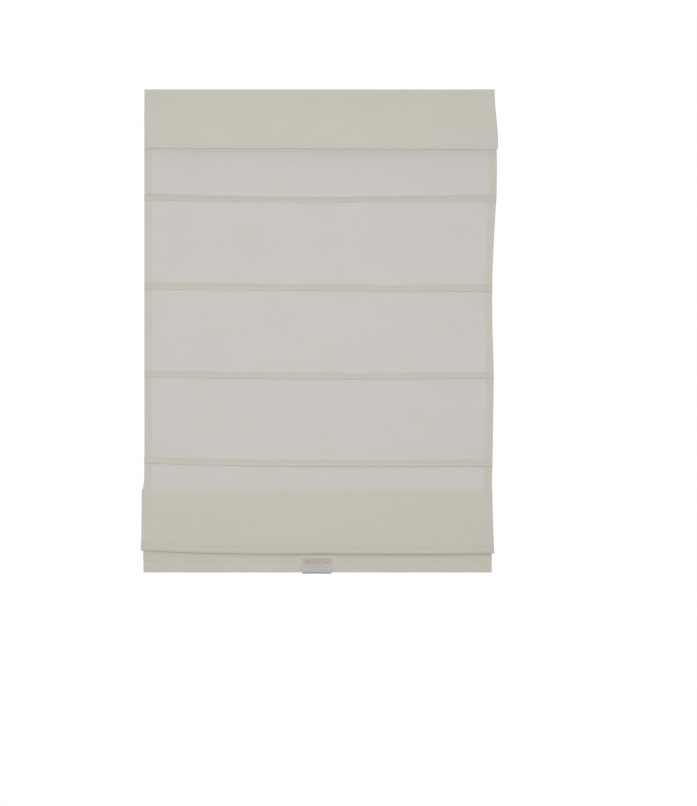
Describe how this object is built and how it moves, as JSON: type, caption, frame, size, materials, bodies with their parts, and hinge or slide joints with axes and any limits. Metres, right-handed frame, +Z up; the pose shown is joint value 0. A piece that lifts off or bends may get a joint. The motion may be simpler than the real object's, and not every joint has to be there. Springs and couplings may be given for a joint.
{
  "type": "roman blind",
  "caption": "Cordless roman blind: headrail with spring lift, cloth valance, translucent shade with front tucks, a fold over the cloth-covered bottom rail and a clear pull handle.",
  "frame": {"origin": "middle of the bracket screw pattern, on the upper faces of the brackets' top plates", "axes": "+X along the width, -Y out of the blind's front towards the room, +Z up"},
  "size_m": [0.882, 0.0639, 1.2092],
  "materials": {
    "fabric": "matte",
    "tape": "matte",
    "cord": "matte",
    "rail_paint": "satin",
    "aluminium": "satin",
    "steel": "satin",
    "white_plastic": "satin",
    "motor_plastic": "satin",
    "batten_plastic": "satin",
    "clear_plastic": "gloss",
    "ring_plastic": "gloss"
  },
  "bodies": {
    "headrail_frame": {"headrail": "rail_paint", "headrail_cap_left": "white_plastic", "headrail_cap_right": "white_plastic", "bracket_left": "steel", "bracket_right": "steel", "spool_cradle_left": "white_plastic", "spool_cradle_right": "white_plastic", "cord_guide_left": "white_plastic", "cord_guide_right": "white_plastic", "motor_housing": "motor_plastic", "motor_cover": "motor_plastic", "motor_axle": "steel", "motor_spring": "steel", "shade_tape": "tape", "valance_tape": "tape", "valance_fabric": "fabric", "shade_fabric": "fabric", "lift_cord_left": "cord", "lift_cord_right": "cord"},
    "drive_shaft": {"lift_shaft": "steel", "cord_spool_left": "white_plastic", "cord_spool_right": "white_plastic", "output_drum": "motor_plastic"},
    "spring_store": {"storage_drum": "motor_plastic"},
    "latch_left": {"bracket_latch_left": "white_plastic"},
    "latch_right": {"bracket_latch_right": "white_plastic"},
    "tuck_1": {"rib_batten_1": "batten_plastic", "rib_rings_1": "ring_plastic"},
    "tuck_2": {"rib_batten_2": "batten_plastic", "rib_rings_2": "ring_plastic"},
    "tuck_3": {"rib_batten_3": "batten_plastic", "rib_rings_3": "ring_plastic"},
    "lower_shade": {"rib_batten_4": "batten_plastic", "rib_rings_4": "ring_plastic", "rib_batten_5": "batten_plastic", "rear_rod": "batten_plastic", "cord_toggle_left": "white_plastic", "cord_toggle_right": "white_plastic", "bottom_rail": "aluminium", "rail_cap_left": "white_plastic", "rail_cap_right": "white_plastic", "pull_handle": "clear_plastic", "handle_screws": "steel"}
  },
  "joints": [
    {"name": "lift", "type": "slide", "parent": "headrail_frame", "child": "lower_shade", "axis": [0, 0, 1], "range_m": [0, 0.708], "deforming": ["shade_fabric", "lift_cord_left", "lift_cord_right"]},
    {"name": "tuck_1_lift", "type": "slide", "parent": "headrail_frame", "child": "tuck_1", "axis": [0, 0, 1], "range_m": [0, 0.1813]},
    {"name": "tuck_2_lift", "type": "slide", "parent": "headrail_frame", "child": "tuck_2", "axis": [0, 0, 1], "range_m": [0, 0.3581]},
    {"name": "tuck_3_lift", "type": "slide", "parent": "headrail_frame", "child": "tuck_3", "axis": [0, 0, 1], "range_m": [0, 0.5341]},
    {"name": "shaft_turn", "type": "hinge", "parent": "headrail_frame", "child": "drive_shaft", "pos_m": [0, 0.0114, -0.022], "axis": [-1, 0, 0], "range_deg": [0, 4719]},
    {"name": "store_turn", "type": "hinge", "parent": "headrail_frame", "child": "spring_store", "pos_m": [0.062, -0.0086, -0.022], "axis": [1, 0, 0], "range_deg": [0, 3771], "deforming": ["motor_spring"]},
    {"name": "latch_left_turn", "type": "hinge", "parent": "headrail_frame", "child": "latch_left", "pos_m": [-0.41, 0.0115, -0.004], "axis": [0, 0, 1], "range_deg": [0, 65]},
    {"name": "latch_right_turn", "type": "hinge", "parent": "headrail_frame", "child": "latch_right", "pos_m": [0.39, 0.0115, -0.004], "axis": [0, 0, 1], "range_deg": [0, 65]}
  ],
  "couplings": [
    {"joint": "tuck_1_lift", "follows": "lift", "ratio": 0.25537},
    {"joint": "tuck_2_lift", "follows": "lift", "ratio": 0.50508},
    {"joint": "tuck_3_lift", "follows": "lift", "ratio": 0.75367},
    {"joint": "shaft_turn", "follows": "lift", "rad_per_m": 116.28},
    {"joint": "store_turn", "follows": "lift", "rad_per_m": 92.897}
  ]
}
